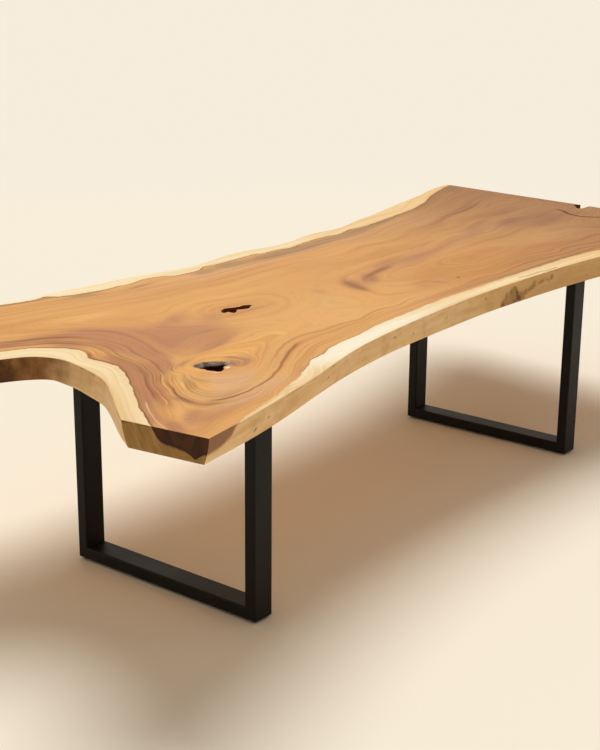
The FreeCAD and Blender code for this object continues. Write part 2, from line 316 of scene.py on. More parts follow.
def fillFace(mesher, rings, grid, gaps, faceUp, grooves=()):
    # triangulates a face between rings[0] and the other rings, through the points of a grid that
    # lie on it and clear of every line
    loops = [mesher.flat(ring) for ring in rings]
    lines = [mesher.flat(np.append(ring, ring[0])) for ring in rings]
    lines += [mesher.flat(groove) for groove in grooves]

    def onFace(points):
        keep = insideLoop(points, loops[0])
        for loop in loops[1:]:
            keep &= ~insideLoop(points, loop)
        return keep

    grid = grid[onFace(grid)]
    for line, gap in zip(lines, gaps):
        near = ((grid > line.min(0) - gap) & (grid < line.max(0) + gap)).all(1)
        near[near] = distanceTo(grid[near], line) < gap
        grid = grid[~near]
    edges, offset = [], 0
    for line, isOpen in [(ring, 0) for ring in rings] + [(groove, 1) for groove in grooves]:
        edges += [(offset + i, offset + (i + 1) % len(line)) for i in range(len(line) - isOpen)]
        offset += len(line)
    known = np.concatenate([*rings, *grooves])
    everyIndex = np.append(known, mesher.addRing(grid, mesher.points[rings[0][0]][2]))
    coords = [Vector(p) for p in np.concatenate([mesher.flat(known), grid])]
    verts, _, faces, origins, _, _ = geometry.delaunay_2d_cdt(coords, edges, [], 1, 1e-4)
    centres = np.array([[sum(verts[i][k] for i in f) / 3 for k in (0, 1)] for f in faces])
    bottoms = {i for groove in grooves for i in groove if mesher.points[i][2] < topZ}
    for face, kept in zip(faces, onFace(centres)):
        if kept:
            corners = [everyIndex[origins[i][0]] for i in face]
            kind = "check" if bottoms.intersection(corners) else "face"
            mesher.addFace(corners if faceUp else corners[::-1], finishes[kind])


def addWalls(mesher):
    # rings from the underside's inner edge, round both arrises, to the top's inner edge
    arris = slabShape["arris"]
    turn = [math.radians(a) for a in (90, 60, 30, 0)]
    steps = [(arris * (1 - math.cos(a)), arris * (1 - math.sin(a))) for a in turn]
    wall = [(0.0, h) for h in np.linspace(arris, thickness - arris, slabShape["wallRows"])[1:-1]]
    steps += wall + [(inset, thickness - h) for inset, h in reversed(steps)]
    counts = outlineAt(1)[2]
    rings = []
    for inset, height in steps:
        loop, kinds, _ = outlineAt(height / thickness, counts)
        shift = np.full(len(loop), -inset)
        free = min(1.0, max(0.0, min(height, thickness - height) - arris) / ripple["setIn"])
        for i, (x, y) in enumerate(loop):
            if free and kinds[i] == kinds[i - 1] == "edge":
                at = Vector((x, y, height * ripple["upright"])) * ripple["scale"]
                shift[i] += free * ripple["swing"] * noise.noise(at)
        rings.append(mesher.addRing(loop + outwards(loop) * shift[:, None], underZ + height))
    mesher.stitch(rings, kinds)
    return rings[0], rings[-1]


def addKnot(mesher, outline, stages, through):
    # walls of a hole that a knot has left, from the top face down; returns its end rings
    base = smoothLoop(outline, knotShape["step"])
    middle = base.mean(0)
    heights, *drifts = np.array(stages, float)[::-1].T
    rings = []
    for depth in np.linspace(heights[-1], heights[0], knotShape["rows"]):
        scale, driftX, driftY = [np.interp(depth, heights, drift) for drift in drifts]
        ring = middle + (base - middle) * scale + (driftX, driftY)
        if not (through and depth == heights[0]):
            for i, (x, y) in enumerate(ring):
                at = Vector((x, y, depth * knotShape["upright"])) * knotShape["scale"]
                push = noise.noise(at) * knotShape["swing"]
                ring[i] += (ring[i] - middle) / np.linalg.norm(ring[i] - middle) * push
        rings.append(mesher.addRing(ring, underZ + depth))
    mesher.stitch(rings, ["void"] * len(base))
    last = rings[-1]
    if not through:
        mesher.points.append((*ring.mean(0), underZ + depth - knotShape["tip"]))
        tip = len(mesher.points) - 1
        for i, corner in enumerate(last):
            mesher.addFace((corner, last[(i + 1) % len(last)], tip), finishes["void"])
    return rings[0], last


# cracks in the top face, each narrowing to nothing at both ends
cracks = {
    "farCurl": {
        "line": [
            (1654, 58), (1635, 22), (1600, -17), (1575, -65), (1566, -100), (1576, -135),
            (1607, -178), (1655, -222), (1715, -250), (1770, -262),
        ],
        "width": 4.5, "depth": 8.0, "step": 7.0, "stain": 7.0, "mark": 1.0,
    },
    "sapwoodCheck": {
        "line": [(300, -519), (361, -529), (430, -532), (485, -538), (546, -536)],
        "width": 0.8, "depth": 0.8, "step": 6.0, "stain": 1.2, "mark": 0.6,
    },
}


def addCrack(mesher, crack):
    # the two lips and the bottom of a V; the three lines share their end points
    line = smoothCurve(crack["line"], crack["step"])
    ahead = np.gradient(line, axis=0)
    ahead /= np.linalg.norm(ahead, axis=1)[:, None]
    across = np.stack([-ahead[:, 1], ahead[:, 0]], 1)
    opening = np.sqrt(np.sin(np.linspace(0, math.pi, len(line))))
    offset = (across * opening[:, None] * crack["width"] / 2)[1:-1]
    ends = mesher.addRing(line[[0, -1]], topZ)
    left = mesher.addRing(line[1:-1] + offset, topZ)
    right = mesher.addRing(line[1:-1] - offset, topZ)
    bottom = mesher.addRing(line[1:-1], topZ - crack["depth"] * opening[1:-1])
    return [np.concatenate([ends[:1], part, ends[1:]]) for part in (left, bottom, right)]


# radius and depth of a threaded insert's collar and bore
insertHole = {"collar": (8.5, 1.5), "bore": (6.5, 24.0), "corners": 20}


def addInsertHoles(mesher):
    # stepped blind holes in the underside, each at its place in a group of inserts; returns their rims
    (collar, sunk), (bore, depth) = insertHole["collar"], insertHole["bore"]
    turn = np.linspace(0, 2 * math.pi, insertHole["corners"], endpoint=False)
    circle = np.stack([np.cos(turn), np.sin(turn)], 1)
    steps = [(collar, 0), (collar, sunk), (bore, sunk), (bore, depth)]
    rims = []
    for side in ("left", "right"):
        low, high = [Vector(corner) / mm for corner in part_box(side + "_slab_inserts")]
        for x in (low.x + collar, high.x - collar):
            for y in (low.y + collar, (low.y + high.y) / 2, high.y - collar):
                rings = [mesher.addRing((x, y) + circle * radius, underZ + up) for radius, up in steps]
                mesher.stitch(rings[::-1], ["void"] * len(circle))
                mesher.addFace(rings[-1][::-1], finishes["void"])
                rims.append(rings[0])
    return rims


# how far grid points keep from the lines of a face
gridGaps = {
    "outline": 5.0, "knot": 3.0, "groove": 5.0, "patch": 4.0,
    "underOutline": 12.0, "underKnot": 8.0, "insert": 5.0,
}


def buildBoard():
    mesher = Mesher()
    underRing, topRing = addWalls(mesher)
    nearTop, nearUnder = addKnot(mesher, nearKnot, nearKnotStages, True)
    farTop, _ = addKnot(mesher, farKnot, farKnotStages, False)
    grooves = [line for crack in cracks.values() for line in addCrack(mesher, crack)]
    holes = addInsertHoles(mesher)
    print("board walls:", len(mesher.points), "points")
    grid = hexGrid(slabLow.xy, slabHigh.xy, slabShape["topGrid"])
    for corners in finePatches:
        patch = hexGrid(*corners, slabShape["knotGrid"])
        low, high = patch.min(0) - gridGaps["patch"], patch.max(0) + gridGaps["patch"]
        outside = (grid < low).any(1) | (grid > high).any(1)
        grid = np.concatenate([grid[outside], patch])
    gaps = [gridGaps[name] for name in ("outline", "knot", "knot", *["groove"] * len(grooves))]
    fillFace(mesher, [topRing, nearTop, farTop], grid, gaps, True, grooves)
    grid = hexGrid(slabLow.xy, slabHigh.xy, slabShape["underGrid"])
    gaps = [gridGaps[name] for name in ("underOutline", "underKnot", *["insert"] * len(holes))]
    fillFace(mesher, [underRing, nearUnder, *holes], grid, gaps, False)
    print("board faces:", len(mesher.faces))
    return mesher


# growth is how far inside the bark the wood lies, in millimetres: the figure follows its level lines
growthLines = [
    (90, [(-1930, 252), (-1800, 213), (-1700, 183), (-1610, 155), (-1528, 128), (-1468, 98), (-1428, 58),
        (-1398, 18), (-1388, -22), (-1393, -57), (-1408, -82), (-1428, -102), (-1433, -132), (-1428, -182),
        (-1433, -232), (-1458, -282), (-1508, -352), (-1528, -372), (-1556, -414), (-1588, -454),
        (-1630, -507), (-1668, -552), (-1706, -607), (-1734, -647), (-1751, -674), (-1790, -738)]),
    (120, [(-1590, -498), (-1616, -532), (-1640, -560), (-1666, -593), (-1694, -634), (-1718, -678),
        (-1734, -717), (-1750, -760)]),
    (150, [(-1930, 318), (-1800, 278), (-1700, 248), (-1610, 215), (-1520, 175), (-1440, 130), (-1403, 115),
        (-1359, 71), (-1331, 16), (-1320, -39), (-1337, -94), (-1359, -138), (-1370, -182), (-1381, -248),
        (-1414, -314), (-1458, -380), (-1513, -446), (-1546, -500), (-1579, -555), (-1644, -621),
        (-1688, -676), (-1721, -742)]),
    (200, [(-1930, 390), (-1800, 345), (-1700, 310), (-1600, 270), (-1500, 225), (-1400, 175), (-1340, 140),
        (-1309, 115), (-1271, 60), (-1249, -6), (-1249, -72), (-1260, -127), (-1293, -193), (-1315, -259),
        (-1337, -303), (-1381, -369), (-1436, -434), (-1480, -500), (-1513, -544), (-1528, -600),
        (-1508, -655), (-1447, -678), (-1359, -677), (-1300, -666), (-1240, -651), (-1183, -627),
        (-1130, -600), (-1080, -571), (-1029, -543), (-941, -503), (-870, -486), (-800, -478), (-700, -474),
        (-600, -468), (-535, -462)]),
    (222, [(-1375, -370), (-1420, -450), (-1463, -512), (-1489, -556), (-1497, -602), (-1485, -642),
        (-1445, -657), (-1400, -657), (-1350, -652), (-1300, -640), (-1250, -628), (-1200, -605),
        (-1150, -582), (-1100, -552), (-1050, -526), (-1000, -499), (-950, -477), (-910, -461),
        (-870, -451), (-800, -449), (-700, -451), (-600, -452), (-535, -448)]),
    (245, [(-1930, 450), (-1800, 405), (-1650, 350), (-1500, 290), (-1370, 225), (-1270, 165), (-1194, 93),
        (-1172, 38), (-1177, -28), (-1205, -105), (-1238, -171), (-1260, -226), (-1287, -281),
        (-1320, -347), (-1359, -413), (-1403, -467), (-1447, -523), (-1465, -566), (-1460, -602),
        (-1425, -628), (-1381, -632), (-1330, -628), (-1293, -618), (-1240, -602), (-1190, -578),
        (-1139, -548), (-1090, -517), (-1040, -490), (-990, -464), (-941, -441), (-880, -425), (-800, -420),
        (-700, -424), (-600, -430), (-535, -430)]),
    (275, [(-480, -350), (-560, -335), (-700, -320), (-850, -315), (-1000, -318), (-1128, -318),
        (-1194, -319), (-1260, -330), (-1320, -352), (-1359, -402), (-1378, -462), (-1370, -522),
        (-1315, -565), (-1249, -572), (-1200, -552), (-1140, -525), (-1085, -490), (-1030, -452),
        (-960, -418), (-880, -395), (-750, -385), (-600, -378), (-480, -372)]),
    (300, [(-1120, -495), (-1060, -455), (-1000, -415), (-940, -388), (-880, -366), (-930, -355),
        (-1000, -350)]),
    (330, [(-1309, -363), (-1249, -347), (-1183, -342), (-1110, -354), (-1050, -378), (-1020, -398),
        (-1050, -424), (-1100, -458), (-1161, -505), (-1227, -528), (-1282, -517), (-1320, -478),
        (-1335, -424)]),
    (400, [(-1290, -373), (-1230, -356), (-1182, -367), (-1150, -393), (-1135, -434), (-1136, -472),
        (-1177, -496), (-1217, -504), (-1262, -504), (-1305, -450)]),
    (255, [(-1250, -300), (-1200, -284), (-1160, -270), (-1060, -258), (-950, -258), (-800, -268),
        (-600, -280), (-400, -290)]),
    (110, [(-1735, -815), (-1655, -800), (-1557, -775), (-1469, -755), (-1359, -738), (-1249, -706),
        (-1139, -665), (-1051, -608), (-963, -575), (-864, -540), (-728, -525), (-620, -506)]),
    (165, [(-1690, -760), (-1650, -740), (-1600, -710)]),
    (185, [(-1560, -670)]),
    (150, [(-1950, 640), (-1700, 600), (-1500, 565), (-1300, 530), (-1181, 505), (-1056, 480), (-900, 430),
        (-700, 405), (-500, 395), (-300, 385), (0, 390), (300, 395), (700, 425), (1100, 490), (1500, 600),
        (1900, 710)]),
    (205, [(-1950, 570), (-1700, 530), (-1500, 495), (-1300, 455), (-1100, 420), (-900, 360), (-600, 325),
        (-300, 310), (0, 315), (400, 325), (800, 365), (1200, 435), (1600, 540), (1900, 620)]),
    (255, [(-1500, 400), (-1300, 350), (-1100, 300), (-900, 260), (-600, 230), (-300, 220), (0, 225),
        (400, 235), (800, 265), (1200, 320), (1600, 400), (1900, 450)]),
    (280, [(-1100, 150), (-900, 120), (-600, 110), (-300, 110), (0, 130)]),
    (300, [(1750, 130), (1400, 90), (1000, 70), (700, 66), (481, 11), (261, 0), (85, -11), (-25, -33),
        (-110, -50), (-140, -77), (-166, -121), (-188, -176), (-212, -245), (-200, -310), (-120, -350),
        (0, -372), (300, -380), (800, -395), (1300, -430)]),
    (330, [(1200, 20), (700, -10), (371, -55), (151, -61), (41, -77), (-47, -99), (-102, -132),
        (-129, -165), (-100, -230), (0, -290), (300, -320), (800, -330)]),
    (360, [(1200, -80), (700, -95), (350, -110), (150, -130), (80, -170), (140, -240), (350, -270),
        (700, -270), (1200, -260)]),
    (390, [(1200, -160), (700, -175), (400, -190)]),
    (330, [(-800, -50), (-760, -5), (-700, 0), (-630, -30), (-600, -55), (-640, -90), (-710, -100),
        (-780, -90)]),
]
# borders between heartwood and sapwood on the top face
bayBorder = growthLines[0][1]
frontBorder = [
    (-1800, -945), (-1725, -893), (-1661, -856), (-1605, -823), (-1560, -806), (-1512, -790), (-1442, -769),
    (-1370, -749), (-1309, -727), (-1253, -709), (-1177, -683), (-1128, -657), (-1068, -632), (-1028, -607),
    (-988, -600), (-958, -597), (-918, -577), (-828, -557), (-728, -552), (-628, -530), (-538, -517),
    (-328, -502), (-128, -487), (72, -487), (272, -482), (672, -482), (872, -497), (1072, -530),
    (1292, -570), (1512, -630), (1732, -697), (2034, -790),
]
backBorder = [
    (-1950, 712), (-1700, 672), (-1500, 640), (-1350, 608), (-1181, 574), (-1111, 556), (-1056, 545),
    (-1006, 553), (-973, 514), (-920, 497), (-862, 486), (-803, 474), (-749, 480), (-688, 468), (-620, 486),
    (-568, 487), (-516, 464), (-487, 442), (-415, 435), (-354, 441), (-306, 465), (-254, 457), (-138, 459),
    (-1, 471), (17, 450), (99, 458), (168, 438), (269, 457), (376, 475), (475, 474), (514, 462), (635, 490),
    (742, 488), (880, 508), (1033, 535), (1136, 552), (1253, 576), (1419, 632), (1566, 701), (1681, 748),
    (1857, 803), (2027, 850),
]
# growth climbs fast inside the straight stretch of the front border
frontSteps = [(60, 0), (120, 22), (200, 52), (245, 80)]
frontStraight = 21              # the first point of frontBorder on that stretch
forkCorner = (-1900, -900)      # closes the heartwood's outline outside the board
# growth along the other borders, how far the spline may leave its lines, and points worked out at a time
growthShape = {"back": 90, "front": 60, "give": 4e-4, "batch": 5000}


def growthField(points):
    # thin-plate spline through the growth lines, in metres so that its numbers stay small
    # and enough points of the borders to hold it there
    known = [(x, y, value) for value, line in growthLines for x, y in line]
    known += [(x, y, growthShape["back"]) for x, y in backBorder[::5]]
    known += [(x, y, growthShape["front"]) for x, y in frontBorder[4:frontStraight:4]]
    for value, inward in frontSteps:
        known += [(x, y + inward, value) for x, y in frontBorder[frontStraight - 1:]]
    known = np.array(known, float)
    at, value = known[:, :2] * mm, known[:, 2]

    def bend(a, b):
        square = ((a[:, None] - b[None]) ** 2).sum(2)
        return square * np.log(square + 1e-12)

    count, batch = len(at), growthShape["batch"]
    system = np.zeros((count + 3, count + 3))
    system[:count, :count] = bend(at, at) + np.eye(count) * growthShape["give"]
    system[:count, count] = system[count, :count] = 1
    system[:count, count + 1:] = at
    system[count + 1:, :count] = at.T
    weights = np.linalg.solve(system, np.append(value, [0, 0, 0]))
    field = np.empty(len(points))
    for start in range(0, len(points), batch):
        part = points[start:start + batch] * mm
        plane = weights[count] + part @ weights[count + 1:]
        field[start:start + batch] = bend(part, at) @ weights[:count] + plane
    return field


def heartField(points):
    # distance into the heartwood on the top face; negative in sapwood
    outline = np.array([*frontBorder, *backBorder[::-1], *bayBorder, forkCorner], float)
    borders = [np.array(line, float) for line in (frontBorder, backBorder, bayBorder)]
    distance = np.min([distanceTo(points, line) for line in borders], axis=0)
    return np.where(insideLoop(points, outline), distance, -distance)


# tones laid over the figure: x, y, reach along and across, turn in degrees, strength
toneSpots = {
    # mauve heartwood
    "mauve": [
        (-1180, -40, 130, 130, -10, 1.0), (-1290, -170, 50, 130, -18, 0.8), (-1130, -190, 120, 90, 0, 1.0),
        (-990, -130, 130, 80, -10, 0.8), (-950, 10, 120, 44, 25, 0.7), (-860, -60, 60, 45, 0, 0.5),
        (-1070, -275, 130, 34, 18, 0.85), (-1340, 140, 70, 40, -35, 0.8), (-1480, 190, 100, 30, -25, 1.1),
        (-1700, 258, 170, 34, -18, 1.1), (-1370, 60, 34, 70, 20, 0.7), (-1240, 90, 70, 90, 0, 0.7),
        (-1400, -190, 24, 90, -10, 0.7), (-1440, -280, 26, 90, -28, 0.9), (-1560, -440, 42, 130, -38, 1.1),
        (-1542, -585, 17, 70, 4, 0.9), (-1500, -650, 26, 16, 0, 0.6), (-1662, -562, 130, 20, 51, 1.8),
        (-1722, -722, 60, 18, 58, 1.2), (-1480, -705, 200, 30, 8, 0.45), (-1370, -335, 70, 30, 50, 0.9),
        (-1330, -330, 20, 90, -40, 0.4), (-178, -130, 42, 95, -32, 0.95), (-60, -110, 32, 80, -42, 0.8),
        (120, -40, 170, 34, 22, 0.6), (300, -60, 240, 60, 15, 0.45), (700, 30, 260, 40, 15, 0.5),
        (-30, -330, 60, 40, 0, 0.5), (950, 60, 250, 40, 20, 0.5), (1300, -20, 200, 90, 0, 0.5),
        (1500, 20, 150, 120, 0, 0.6), (-1160, -450, 34, 34, 0, 1.3), (-700, -95, 120, 14, 0, 0.6),
        (-1680, -800, 80, 24, 12, 0.15), (-1120, -650, 60, 20, 25, 0.6), (1500, -330, 380, 60, -12, 0.5),
        (900, 250, 260, 40, 10, 0.4), (-1700, -770, 60, 40, 0, 0.1), (-1560, -730, 120, 40, 10, 0.25),
        (-1450, -662, 40, 9, 0, 1.2), (50, -455, 450, 22, 0, 0.6), (50, -335, 20, 45, 20, 0.6),
        (0, -292, 50, 14, 0, 0.5), (-340, -105, 35, 50, -20, 0.45), (-1640, -720, 70, 36, 10, 0.4),
        (-1450, -340, 30, 50, -30, 0.8), (-1606, -676, 50, 24, 20, 0.6), (-1688, -634, 50, 14, 55, 0.5),
        (-1600, -596, 40, 16, 50, 0.5), (-1372, -296, 36, 50, -30, 0.5), (-1188, -472, 28, 22, 30, 1.6),
        (-1150, -452, 24, 16, 30, 0.6), (-690, -8, 100, 14, -8, 0.4), (-712, -46, 110, 40, -6, 0.4),
        (-1225, -270, 30, 40, -30, 0.3), (-1150, -412, 30, 14, -30, 0.8), (-1292, -352, 40, 10, 20, 0.7),
        (300, -30, 260, 40, 0, 0.4), (-1500, -440, 24, 90, -36, 0.5), (-1270, -100, 40, 110, 0, 0.5),
        (1240, 70, 130, 50, 20, 0.8), (1100, 150, 160, 24, 12, 0.6), (1480, 240, 160, 40, 15, 0.6),
        (1330, -60, 120, 40, 10, 0.6), (560, 80, 120, 20, 10, 0.5),
    ],
    # strongly marked figure
    "figure": [
        (-1420, -210, 90, 260, -8, 1.0), (-1560, -500, 110, 220, 35, 1.0), (-1400, 90, 140, 100, 30, 1.0),
        (-1700, 220, 260, 60, -18, 1.0), (-1400, -620, 90, 60, -5, 0.4), (-1020, -520, 200, 50, 25, 0.45),
        (-1420, -500, 60, 110, 25, 0.5), (-500, -455, 700, 46, 4, 0.2), (-50, -180, 200, 150, 10, 0.4),
        (600, -430, 700, 60, -3, 0.65), (900, 10, 500, 60, 4, 0.5), (1250, 360, 300, 40, 12, 0.9),
        (1500, 150, 350, 300, 0, 0.4), (-900, 440, 300, 30, -14, 0.6), (200, 400, 600, 40, 3, 0.4),
        (1500, -430, 500, 190, -15, 1.0), (900, -400, 420, 110, -6, 0.6), (-1000, -380, 240, 60, 12, 0.2),
        (-1390, -582, 110, 55, 8, -1.1), (-1640, -640, 60, 40, 50, -0.5),
    ],
    # deeper orange-brown wood
    "rust": [
        (350, -320, 420, 110, -2, 1.0), (900, -380, 400, 110, -6, 0.8), (450, -200, 380, 110, 0, 0.9),
        (-1750, 420, 300, 100, -18, 0.4), (200, -430, 360, 40, 0, 0.6), (1300, -450, 300, 80, -12, 0.3),
        (-1250, -480, 60, 20, 20, 0.4), (-1640, 236, 220, 46, -20, 0.8),
    ],
    # smooth pinkish wood below the near knot
    "blush": [
        (-1380, -600, 90, 50, 10, 1.0), (-1400, -690, 160, 34, 6, 1.0), (-1290, -560, 90, 34, 14, 0.9),
        (-1250, -660, 140, 26, 14, 0.6), (-1330, -520, 50, 50, 0, 0.7), (-400, 360, 420, 90, 0, 0.6),
        (400, 380, 420, 80, 4, 0.55), (1050, 400, 380, 110, 12, 0.55), (-950, 400, 200, 60, -14, 0.3),
    ],
    # palest sapwood
    "cream": [
        (-900, -610, 260, 60, 10, 1.0), (-500, -560, 260, 50, 4, 0.7), (-1700, 720, 700, 90, -12, 1.0),
    ],
    # orange and gold wood
    "gold": [
        (-1150, -440, 70, 60, -10, 0.5), (-1430, -530, 40, 110, 28, 1.0), (-1350, -400, 50, 60, 20, 0.9),
        (-1000, -370, 260, 44, 10, 1.1), (-1150, -335, 120, 26, 0, 0.9), (-1372, -80, 22, 80, 8, 1.0),
        (-1100, 260, 220, 90, -14, 0.6), (-600, 100, 420, 70, 0, 0.45), (-1340, -660, 60, 20, 0, 0.4),
        (-300, -300, 260, 50, 10, 0.4), (-1600, 360, 240, 60, -20, 0.5), (-1050, -10, 60, 12, 30, 0.5),
        (-1180, 20, 50, 10, 20, 0.5), (-1120, -110, 40, 8, 15, 0.4),
    ],
    # grey-brown bands inside the back border and by the cracks, and painted shade at the far end
    "umber": [
        (-690, 418, 90, 13, 4, 0.8), (-380, 402, 60, 34, 0, 1.0), (-230, 412, 90, 38, 0, 1.0),
        (0, 402, 150, 42, 0, 1.0), (200, 400, 120, 36, 0, 1.0), (400, 420, 150, 42, 0, 0.95),
        (600, 440, 120, 40, 8, 0.85), (820, 480, 140, 26, 10, 0.8), (-900, 452, 90, 11, -15, 0.7),
        (-1100, 545, 110, 12, -14, 1.0), (-1300, 588, 160, 10, -14, 0.8), (-980, 520, 60, 12, -30, 0.9),
        (-870, 474, 90, 11, -6, 0.9), (1100, 540, 200, 16, 12, 0.7), (1500, 660, 300, 26, 24, 0.7),
        # the first two bands on the next line, across the far end and at its back corner, are painted shade
        # where the light falls off
        (1880, 790, 160, 60, 24, 0.9), (1850, 200, 60, 420, 6, 0.6), (600, -474, 600, 16, -1, 0.8),
        (1640, -60, 60, 60, 0, 0.6), (1780, 60, 90, 30, 10, 0.5), (-1500, 590, 200, 10, -12, 0.6),
    ],
    # brown stain on the bay's edge
    "stain": [
        (-1850, 165, 260, 90, -18, 0.95), (-1700, 100, 90, 60, -20, 0.9), (-1610, 70, 60, 50, -30, 0.75),
        (-1540, 20, 50, 50, 0, 0.75), (-1496, -60, 40, 60, 0, 0.6), (-1512, -190, 30, 70, 0, 0.25),
    ],
    # where the near knot's walls are painted: grey high up as the light that falls in, near black lower down
    # as shade
    "knotLitAndShaded": [(-1235, -395, 80, 44, -14, 1.4)],
    # painted highlights at the lip of the near knot: a pale glint and a pale line along its lower edge
    "knotLipHighlight": [(-1241, -474, 14, 6, 24, 1.5), (-1300, -486, 26, 3.5, -30, 0.9)],
    # where the dark rings below are drawn out
    "rings": [
        (-1420, -150, 90, 220, -8, 0.9), (-1560, -480, 120, 220, 35, 0.85), (-1400, 110, 160, 90, 30, 1.0),
        (-1750, 230, 260, 90, -18, 1.4), (-1500, -640, 60, 30, 60, 0.3), (-1120, -440, 50, 70, 0, 0.3),
        (-195, -150, 36, 80, -24, 1.1), (50, -82, 100, 30, 8, 1.4), (-90, -150, 50, 60, 0, 0.5),
        (800, -120, 300, 90, 0, 0.25),
    ],
    # where one strong ring is drawn
    "knotRing": [
        (-1420, -655, 90, 24, 0, 0.8), (-1300, -642, 90, 24, 8, 1.0), (-1170, -592, 90, 24, 26, 1.1),
        (-1050, -527, 90, 24, 28, 1.1), (-950, -476, 60, 24, 22, 0.5),
    ],
    # where one pale ring is drawn beside the bay
    "paleRing": [
        (-1640, -560, 40, 24, 50, 1.0), (-1694, -634, 50, 24, 54, 1.0), (-1725, -700, 30, 24, 60, 0.8),
    ],
    # where the sapwood turns orange before the heartwood begins
    "soft": [(-1420, -752, 230, 46, 14, 1.2)],
    # where the border of the heartwood is drawn as a dark line
    "rim": [
        (-1430, 60, 140, 120, 0, 1.0), (-1480, -300, 120, 200, 20, 1.0), (-1690, -600, 120, 160, 30, 0.9),
        (-1800, 200, 200, 60, -15, 1.0), (-1400, -745, 260, 50, 14, -0.5), (-1000, -603, 90, 30, 10, 0.5),
        (-1500, 640, 500, 60, -12, 1.1), (-900, 490, 300, 60, -14, 1.1), (-300, 450, 400, 50, 0, 1.0),
        (300, 460, 500, 50, 0, 0.9), (1000, 530, 400, 60, 10, 0.8), (1500, 680, 400, 60, 22, 0.8),
    ],
}
# dark growth rings: growth in millimetres and how strongly they show
darkRings = [
    (80, 0.0), (88, 0.5), (96, 0.1), (108, 0.45), (120, 0.0), (136, 0.1), (150, 0.9), (158, 0.2),
    (176, 0.35), (186, 0.0), (192, 0.1), (200, 1.0), (206, 0.2), (224, 0.0), (246, 0.3), (254, 0.0),
    (268, 0.3), (286, 0.0), (300, 0.9), (312, 0.1), (320, 0.1), (332, 0.9), (346, 0.0), (362, 0.5),
    (376, 0.0), (400, 0.3),
]
# bark left on the front edge: x, depth below the top, reach along and down, turn in degrees, strength
barkSpots = [
    (118, 60, 16, 15, -40, 0.85), (144, 42, 10, 22, 30, 0.6), (190, 64, 70, 10, 0, 0.8),
    (183, 26, 10, 13, 40, 0.8), (207, 18, 12, 8, 0, 0.95), (219, 30, 8, 14, 0, 0.85),
    (190, 44, 46, 18, 0, 0.62), (228, 50, 22, 16, 0, 0.62), (275, 42, 42, 12, -14, 0.62),
    (330, 32, 24, 9, -14, 0.75), (389, 25, 34, 7, -10, 0.8), (348, 16, 18, 4, 0, 0.6),
    (440, 26, 18, 8, 0, 0.6), (470, 19, 14, 8, -40, 1.0), (12, 21, 9, 5, 0, 0.8), (-600, 22, 10, 5, 0, 0.8),
    (-480, 40, 6, 5, 0, 0.7), (-1060, 30, 9, 5, -30, 0.8), (-1435, 32, 6, 4, -40, 0.9),
    (-1501, 46, 9, 5, -40, 0.9), (-1621, 42, 5, 3, 0, 0.8), (-820, 50, 22, 8, 0, 0.5),
    (-250, 30, 40, 9, -8, 0.4), (700, 50, 30, 8, 0, 0.5), (980, 24, 12, 6, 0, 0.7),
    (1300, 44, 26, 8, 0, 0.6), (1650, 30, 14, 6, 0, 0.7),
]


def spotField(places, spots):
    field = np.zeros(len(places))
    for x, y, along, across, degrees, strength in spots:
        turn = math.radians(degrees)
        dx, dy = places[:, 0] - x, places[:, 1] - y
        u = (dx * math.cos(turn) + dy * math.sin(turn)) / along
        v = (dy * math.cos(turn) - dx * math.sin(turn)) / across
        field += strength * np.exp(-(u * u + v * v))
    return field


def crackField(flat):
    # how dark a crack is, fading away over its stained borders
    field = np.zeros(len(flat))
    for crack in cracks.values():
        line = smoothCurve(crack["line"], crack["step"])
        far = np.maximum(0, distanceTo(flat, line) - crack["width"] / 2)
        field = np.maximum(field, crack["mark"] * np.exp(-(far / crack["stain"]) ** 2))
    return field


knotDish = {"middle": (-1196, -440), "reach": 74.0, "depth": 5.0}
# the heartwood keeps to the upper part of the board near its rim and narrows below
heartShape = {"rimDepth": 44.0, "rimRise": 12.0, "slope": 1.4}
growthSlope = 0.8
# y in front of which the edge can keep bark, and how far down a crack shows
markReach = {"bark": -450, "crack": 12}
faceDepth = 1.0                 # anything less far down is taken as the top face
sharpFrom = math.radians(40)


def sinkDish(points):
    # the shallow hollow sanded round the near knot, in the top face only
    away = np.linalg.norm(points[:, :2] - knotDish["middle"], axis=1) / knotDish["reach"]
    onTop = (points[:, 2] > topZ - 0.01) & (away < 1)
    points[onTop, 2] -= knotDish["depth"] * (1 - away[onTop] ** 2) ** 2


def heartAt(flat, below):
    rim = heartField(flat)
    shallow = heartShape["rimDepth"] * (1 - np.exp(-np.maximum(rim, 0) / heartShape["rimRise"])) - below
    inside = np.maximum(shallow, rim - heartShape["slope"] * below)
    return np.where(below < faceDepth, rim, inside)


def makeBoard():
    mesher = buildBoard()
    points = np.array(mesher.points)
    flat, below = points[:, :2], topZ - points[:, 2]
    sinkDish(points)
    onFront = (flat[:, 1] < markReach["bark"]) & (below > faceDepth)
    fields = {
        "growth": growthField(flat) - growthSlope * below,
        "heart": heartAt(flat, below),
        "below": below,
        "bark": spotField(np.stack([flat[:, 0], below], 1), barkSpots) * onFront,
        "crack": crackField(flat) * (below < markReach["crack"]),
    }
    fields.update({name: spotField(flat, spots) for name, spots in toneSpots.items()})
    mesh = bpy.data.meshes.new("live_edge_board")
    mesh.from_pydata((points * mm).tolist(), [], mesher.faces)
    mesh.polygons.foreach_set("material_index", mesher.finish)
    for name, values in fields.items():
        attribute = mesh.attributes.new(name=name, type="FLOAT", domain="POINT")
        attribute.data.foreach_set("value", values.astype(np.float32))
    shell = bmesh.new()
    shell.from_mesh(mesh)
    bmesh.ops.recalc_face_normals(shell, faces=shell.faces)
    shell.to_mesh(mesh)
    shell.free()
    mesh.shade_smooth()
    mesh.set_sharp_from_angle(angle=sharpFrom)
    board = bpy.data.objects.new("live_edge_board", mesh)
    bpy.context.scene.collection.objects.link(board)
    return board


board = makeBoard()
print("board made")

smooth = {"interpolation_type": "SMOOTHSTEP"}
noiseRange = (0.3, 0.7)         # where nearly all of a noise's values lie
